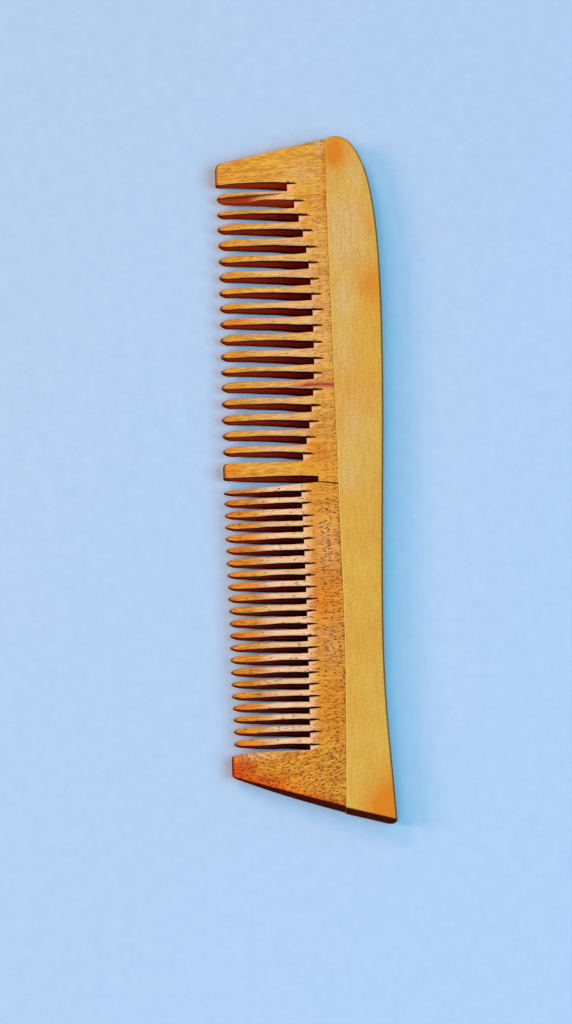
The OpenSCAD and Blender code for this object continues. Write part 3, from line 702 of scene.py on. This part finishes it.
# The lower wall of the last cut follows the guard, which was left when the teeth were sawn
last = fine_cuts[-1]
last_wall = last.wall
last.wall = lambda x, side: last_wall(x, side) if side > 0 else guard_side(np.minimum(x, last.root))
fine_columns = sheet_board(
    fine_cuts, fine_tips, first_edge=first_fine_side, last_edge=fine_end,
    first_root=fine_cuts[0].root, last_root=last.root, heel=None)
points, faces, on = solid_board(fine_columns, FINE_FALL, FINE_UNDER_FALL, fine_round)
past = past_cuts(points, fine_cuts)
x, y = points[:, 0], points[:, 1]
shade = np.random.default_rng(21).uniform(-0.15, 0.15, FINE_GUARD + 1)[on["tooth"].astype(int)]
guard = (on["tooth"] == FINE_GUARD) * 1.0
narrow = (1 - guard) * (1 - ease(-0.5, 2.6, past))
joint_gap = through(JOINT, y) - x
end_edge = (y < -77) * (0.9 * on["arris"] + 0.55 * (1 - ease(0.4, 3, y - fine_end(x))))
# The same finishes: painted shade on sawn walls, steep sides, noses and end faces, a painted
# highlight with the wear on rubbed sides, and painted red light on the walls
fine_marks = {
    "sawn": np.maximum(on["sawn"], np.maximum(on["end"] * (y > -50), on["tip"])),
    # Pale rubbed vee sides and arrises: partly wear, partly a painted highlight
    "edge_wear_and_highlight": np.maximum(on["edge_wear_and_highlight"] * (0.8 - 0.45 * ease(0.2, 3.5, past)),
                            0.45 * on["arris"] * (past < 1) * (y > -80)),
    # Dark end grain at the noses and end faces, deepened as painted shade
    "end_grain_and_shade": np.maximum(on["tip"] * (1 - ease(*TIP_GRAIN_AND_SHADE, x)), on["end"] * (y < -50)),
    # Painted light and shade on the walls: darker at the very tips and towards the roots, lighter in
    # the middle of each wall
    "painted_red_light": 0.4 * ease(-21, -18, x) - 0.5 + 0.42 * (1 - ease(-17, 0, x)) + 0.4 * on["mid_wall"],
    "slant": 0.28 * guard * ease(-18, -8, x),
    "orange_wood": 0.38 + shade * narrow + 0.4 * (1 - ease(-20, -10, x)) * narrow + end_edge
                   + spots(points, [(-19, -79, 4.5, 3.5, 1.4), (-13, -83, 7, 2, 0.9),
                                    (5, -35, 3.5, 8, 0.3), (5, -62, 3, 7, 0.2)]),
    "cream_wood": narrow * ease(-15, -8, x) * (0.75 + shade)
                  + spots(points, [(-15, -76.2, 5, 0.8, 0.4), (5, -20, 3, 9, 0.2),
                                   (5, -47, 3, 6, 0.14)]),
    "pore_rich": 0.14 + 0.5 * ease(1.5, 4, x) * ease(0, 15, -y) + 0.7 * guard * ease(-21, -17, x)
                 + 0.5 * (1 - ease(0.3, 1.0, joint_gap))}
# The warmer board to the eye: orange, with darker pores and a grain that wanders more
fine_wood = board_wood(
    "orange_board_wood_sawn_filed_and_rubbed", yellow="#e2a938", orange="#e27d12",
    deep="#a4520e", pore_colour="#7c3604", wave=2.0, pore_gain=1.0)
fine_board = piece_from("fine_toothed_board", points, faces, fine_marks, fine_wood,
                        sharp_deg=42)
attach(fine_board, "root")
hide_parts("fine_board")

# Spine: one strip of the same pale wood with its grain along the comb, glued to both
# boards and rubbed down to the same faces. Its back is gently waved and rounded with a
# file, more along the lower side than the upper, and it ends in a round upper corner.
BACK = [(-97, 20.75), (-80, 19.85), (-64, 19.05), (-48, 18.85), (-28, 19.35),
        (-6, 20.2), (18, 21.15), (40, 21.65), (56, 21.6), (69, 21.05),
        (80, 19.75), (85.5, 18.45), (89.6, 16.85), (92.18, 15.3)]
# Rounding of the back edge above and below: how wide, and how far from the middle of the
# thickness it starts
ROUND_UP, ROUND_DOWN = (0.7, 2.0), (2.6, -1.7)
# The lower end, and where the upper corner starts to turn: at the joint and at the back
INNER_END, OUTER_END = -90.75, -94.2
INNER_CORNER, OUTER_CORNER, TOP_Y = 89.18, 92.18, 93.7
# The round corner: radius, degrees at which it starts and stops, place of its middle
CORNER_R, CORNER_FROM, CORNER_TO, CORNER_X = 5.2, 35, 106, 11.1
CORNER_Y = OUTER_CORNER - CORNER_R * math.sin(math.radians(CORNER_FROM))
# Degrees of the corner's turn that would bring the joint side to the top, and those in
# which most of the back's rounding fades
REACH_TOP, FADE = 75, 70
# Chamfers of the lower end and of the top, and the arris along the joint
END_CHAMFER, TOP_CHAMFER, ARRIS_WIDE, ARRIS_DEEP = 0.28, 0.15, 0.05, 0.04

# Sections across the strip: height at the joint, place and height at the back, and how
# much of the back's rounding is left there
sections = []
for t in np.concatenate([[0, 0.0014], np.linspace(0.005, 1, 190)]):
    inner_y = INNER_END + t * (INNER_CORNER - INNER_END)
    outer_y = OUTER_END + t * (OUTER_CORNER - OUTER_END)
    sections.append((inner_y, float(through(BACK, outer_y)), outer_y, 1.0))
for degrees in np.arange(CORNER_FROM + 2, CORNER_TO, 2.5):
    a, turned = math.radians(degrees), degrees - CORNER_FROM
    sections.append((INNER_CORNER + (TOP_Y - INNER_CORNER) * turned / REACH_TOP,
                     CORNER_X + CORNER_R * math.cos(a), CORNER_Y + CORNER_R * math.sin(a),
                     1.0 - 0.7 * turned / FADE))
# A last small section closes the top
sections.append((TOP_Y - 0.02, float(through(JOINT, TOP_Y)) + 0.37, TOP_Y + 0.1, 0.2))
points, from_back, at_joint, at_end = [], [], [], []
for k, (inner_y, outer_x, outer_y, part) in enumerate(sections):
    inner_x = float(through(JOINT, inner_y)) + GLUE_ASIDE
    span = math.hypot(outer_x - inner_x, outer_y - inner_y)
    dx, dy = (outer_x - inner_x) / span, (outer_y - inner_y) / span
    chamfer = END_CHAMFER if k == 0 else TOP_CHAMFER if k == len(sections) - 1 else 0.0
    halves = []
    for wide, start in (ROUND_UP, ROUND_DOWN):
        wide = min(wide * part, 0.8 * span)
        half = [(0.0, MID - ARRIS_DEEP - chamfer), (ARRIS_WIDE, MID - chamfer)]
        half += [(ARRIS_WIDE + (span - wide - ARRIS_WIDE) * u, MID - chamfer)
                 for u in np.concatenate([[0.025, 0.05], np.linspace(0.08, 1, 13)])]
        for degrees in np.linspace(90, 0, 11)[1:]:
            a = math.radians(degrees)
            half.append((span - wide * (1 - math.cos(a)) - chamfer * math.cos(a),
                         start + (MID - start) * math.sin(a) - chamfer * math.sin(a)))
        halves.append(half)
    for d, h in halves[0] + [(d, -h) for d, h in reversed(halves[1])]:
        points.append((inner_x + dx * d, inner_y + dy * d, MID + h))
        from_back.append(span - d)
        at_joint.append(d < 0.2)
        at_end.append(k == 0)
points, from_back = np.array(points), np.array(from_back)
around = 2 * len(halves[0])
faces = []
for k in range(len(sections) - 1):
    for m in range(around):
        a, b = k * around + m, k * around + (m + 1) % around
        faces.append((a, b, b + around, a + around))
for base, turn in ((0, 1), ((len(sections) - 1) * around, -1)):
    for m in range(around // 2 - 1):
        quad = (base + m, base + around - 1 - m, base + around - 2 - m, base + m + 1)
        faces.append(quad[::turn])
spine_marks = {
    "orange_wood": 0.12 + 0.06 * (1 - ease(0.5, 4, from_back))
                   + spots(points, [(10.4, 89.5, 2.6, 4.3, 1.1), (19, -90.5, 6, 7, 1.15),
                                    (18.5, 51, 4, 7, 0.48), (19, 69, 2, 4, 0.4),
                                    (14, 22, 5, 10, 0.25)]),
    "grey_wood": spots(points, [(10.5, 66, 2.8, 13, 0.6), (13.5, 67, 4.5, 12, 0.6),
                                (11.5, 48, 3, 8, 0.6), (12, -2, 3.5, 5, 0.4),
                                (13, 12, 4.5, 12, 0.35), (11, 33, 3, 9, 0.35),
                                (15.5, 83, 2.5, 5, 0.45)]),
    # A thin painted shade line on the top face along the back edge
    "back_shade_line": (1 - ease(0.3, 0.65, from_back)) * 0.85 * ease(2.2, 2.9, points[:, 2] - MID),
    "joint_line": np.array(at_joint) * (0.25 + 0.45 * (points[:, 1] < 0)),
    # The lower end face: end grain, darkened as painted shade
    "end_grain_and_shade": np.array(at_end)}

# The same close-grained hardwood along its grain, filed round and rubbed with oil. To the
# eye: pale gold with short fine flecks, greyer near the coarse half of the joint, orange
# at the two ends, a light line at the joint, a painted shade line where the back turns
# away, and a lower end face of end grain darkened as painted shade. Its flecks too are
# coarser than real fibres.
material, tree = new_material("pale_spine_wood_long_grain_rubbed")
mark = {key: add(tree, "ShaderNodeAttribute", give="Fac", attribute_name=key)
        for key in ("orange_wood", "grey_wood", "joint_line", "back_shade_line", "end_grain_and_shade")}
place = add(tree, "ShaderNodeTexCoord", give="Object")
along = add(tree, "ShaderNodeMapping", {"Vector": place, "Scale": (1.0, 0.12, 0.7)})
# 1.7 fibres and 2 flecks to the millimetre, in patches 17 mm across
fibres = add(tree, "ShaderNodeTexNoise", {"Vector": along, "Scale": 1.7 / MM, "Detail": 3.0,
                                          "Roughness": 0.6})
flecks = add(tree, "ShaderNodeTexNoise", {"Vector": place, "Scale": 2.0 / MM, "Detail": 3.0})
patch = add(tree, "ShaderNodeTexNoise", {"Vector": place, "Scale": 0.06 / MM, "Detail": 3.0})
fibre_share = add(tree, "ShaderNodeMath", {0: fibres, 1: 0.35}, operation="MULTIPLY")
fleck_share = add(tree, "ShaderNodeMath", {0: flecks, 1: 0.65}, operation="MULTIPLY")
tone = add(tree, "ShaderNodeMath", {0: fibre_share, 1: fleck_share}, operation="ADD")
light = add(tree, "ShaderNodeValToRGB", {0: tone}, ramp=[(0.42, 0.0), (0.56, 1.0)])
warm = add(tree, "ShaderNodeMath", {0: mark["orange_wood"], 1: 0.36}, operation="SUBTRACT")
warm = add(tree, "ShaderNodeMath", {0: patch, 1: 0.8, 2: warm}, operation="MULTIPLY_ADD",
           use_clamp=True)
grey = add(tree, "ShaderNodeMath", {0: light, 1: 0.5, 2: 0.5}, operation="MULTIPLY_ADD")
grey = add(tree, "ShaderNodeMath", {0: mark["grey_wood"], 1: grey}, operation="MULTIPLY")
colour = add(tree, "ShaderNodeMix", {0: warm, 6: "#dbb04a", 7: "#de7c06"}, **COLOURS)
colour = add(tree, "ShaderNodeMix", {0: grey, 6: colour, 7: "#d9b78c"}, **COLOURS)
dark = add(tree, "ShaderNodeMix", {0: 0.4, 6: colour, 7: "#b57622"}, **COLOURS)
colour = add(tree, "ShaderNodeMix", {0: light, 6: dark, 7: colour}, **COLOURS)
colour = add(tree, "ShaderNodeMix", {0: mark["joint_line"], 6: colour, 7: "#f2ca68"}, **COLOURS)
# A thin painted shade line on the top face along the back edge
colour = add(tree, "ShaderNodeMix", {0: mark["back_shade_line"], 6: colour, 7: "#5a2e16"}, **COLOURS)
rough = add(tree, "ShaderNodeMapRange", {0: fibres, 3: 0.4, 4: 0.6})
bump = add(tree, "ShaderNodeBump", {"Strength": 0.3, "Distance": 0.1 * MM, "Height": tone})
rubbed = add(tree, "ShaderNodeBsdfPrincipled",
             {"Base Color": colour, "Roughness": rough, "Normal": bump,
              "Specular IOR Level": 0.2})
# The lower end face: dark end grain, partly painted shade
ends = add(tree, "ShaderNodeValToRGB", {0: flecks}, ramp=[
    (0.35, END_GRAIN_AND_SHADE[0]), (0.65, END_GRAIN_AND_SHADE[1])])
raw = add(tree, "ShaderNodeBsdfDiffuse", {"Color": ends, "Roughness": 0.6})
surface = add(tree, "ShaderNodeMixShader", {0: mark["end_grain_and_shade"], 1: rubbed, 2: raw})
add(tree, "ShaderNodeOutputMaterial", {"Surface": surface})
spine = piece_from("spine_strip", points, faces, spine_marks, material, sharp_deg=35)
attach(spine, "root")
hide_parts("spine")

# Glue film: the thin line of dried glue that shows between the boards and the spine,
# pressed out when they were clamped. It is the CAD's own solid with a better material.

# Brown wood glue, dried and rubbed flush. To the eye: a matt line that changes from dark
# brown to amber every millimetre or so, as wide as it has to be to show.
material, tree = new_material("brown_glue_film_dried_in_the_joint")
place = add(tree, "ShaderNodeTexCoord", give="Object")
mottle = add(tree, "ShaderNodeTexNoise", {"Vector": place, "Scale": 0.9 / MM, "Detail": 2.0})
colour = add(tree, "ShaderNodeValToRGB", {0: mottle}, ramp=[(0.35, "#7a4418"), (0.65, "#d08a3a")])
surface = add(tree, "ShaderNodeBsdfPrincipled", {"Base Color": colour, "Roughness": 0.8,
                                                 "Specular IOR Level": 0.1})
add(tree, "ShaderNodeOutputMaterial", {"Surface": surface})
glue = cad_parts["glue_line"]
glue.data.materials.clear()
glue.data.materials.append(material)

# Paper: the plain sheet that the comb lies on, so large that its edges stay out of sight.
# It is stage, not a piece of the object.
PAPER_HALF = 3000.0
floor_mesh = bpy.data.meshes.new("paper_floor")
floor_mesh.from_pydata([(x * PAPER_HALF * MM, y * PAPER_HALF * MM, 0)
                        for x, y in ((-1, -1), (1, -1), (1, 1), (-1, 1))], [], [(0, 1, 2, 3)])
floor = bpy.data.objects.new("paper_floor", floor_mesh)
bpy.context.scene.collection.objects.link(floor)

# Pale blue paper, pressed smooth and matt. To the eye: almost plain, with clouds of
# slightly darker blue about 4 mm across.
material, tree = new_material("pale_blue_paper_smooth")
place = add(tree, "ShaderNodeTexCoord", give="Object")
cloud = add(tree, "ShaderNodeTexNoise", {"Vector": place, "Scale": 0.26 / MM, "Detail": 6.0,
                                         "Roughness": 0.8})
colour = add(tree, "ShaderNodeValToRGB", {0: cloud}, ramp=[(0.3, "#a9c2df"), (0.7, "#b4cae4")])
surface = add(tree, "ShaderNodeBsdfPrincipled", {"Base Color": colour, "Roughness": 0.8})
add(tree, "ShaderNodeOutputMaterial", {"Surface": surface})
floor.data.materials.append(material)

# Light: warm soft lamps from the upper left and, lower, along the cuts, a white one from
# the camera's side, a blue one from the right that fills the shadows, and a dim sky.
# Each lamp: name, place and width in metres, watts, linear colour.
for name, place, size, energy, tint in (
        ("softbox_upper_left", (-0.9, 1.15, 1.5), 0.9, 14.0, (1.0, 0.43, 0.18)),
        ("softbox_left", (-1.8, 0.1, 1.2), 0.9, 29.0, (1.0, 0.43, 0.18)),
        ("softbox_camera_side", (-0.3, -0.75, 1.9), 0.9, 12.8, (0.66, 0.97, 1.0)),
        ("softbox_right", (1.1, -0.5, 1.6), 1.5, 30.0, (0.3, 0.77, 1.0))):
    lamp_data = bpy.data.lights.new(name, "AREA")
    lamp_data.shape = "DISK"
    lamp_data.size = size
    lamp_data.energy = energy
    lamp_data.color = tint
    lamp = bpy.data.objects.new(name, lamp_data)
    lamp.location = place
    lamp.rotation_euler = (-lamp.location).to_track_quat("-Z", "Y").to_euler()
    bpy.context.scene.collection.objects.link(lamp)
SKY = (0.15, 0.21, 0.29, 1.0)
world = bpy.data.worlds.new("even_sky")
bpy.context.scene.world = world
world.use_nodes = True
sky = world.node_tree.nodes["Background"]
sky.inputs["Color"].default_value = SKY
sky.inputs["Strength"].default_value = 1.0
bpy.context.scene.view_settings.view_transform = "Standard"

# Camera: where the photograph was taken from, a long lens tipped 18 degrees from straight
# down: its place, the directions right and ahead of it, and how far off the picture would
# lie at its own size, in pixels.
CAMERA_AT, SENSOR = (-14.9, -340.6, 991.1), 36
RIGHT, AHEAD = (0.999575, -0.029143, 0.0), (0.009247, 0.317170, -0.948324)
LENS_PIXELS, PICTURE_HIGH = 4000, 1024
camera_data = bpy.data.cameras.new("camera")
camera_data.sensor_width = SENSOR
camera_data.lens = LENS_PIXELS / PICTURE_HIGH * SENSOR
camera_data.clip_start, camera_data.clip_end = 0.05, 10
camera = bpy.data.objects.new("camera", camera_data)
turned = np.stack([RIGHT, np.cross(RIGHT, AHEAD), -np.array(AHEAD)], 1)
camera.matrix_world = Matrix(
    [list(turned[k]) + [CAMERA_AT[k] * MM] for k in range(3)] + [[0, 0, 0, 1]])
bpy.context.scene.collection.objects.link(camera)
bpy.context.scene.camera = camera
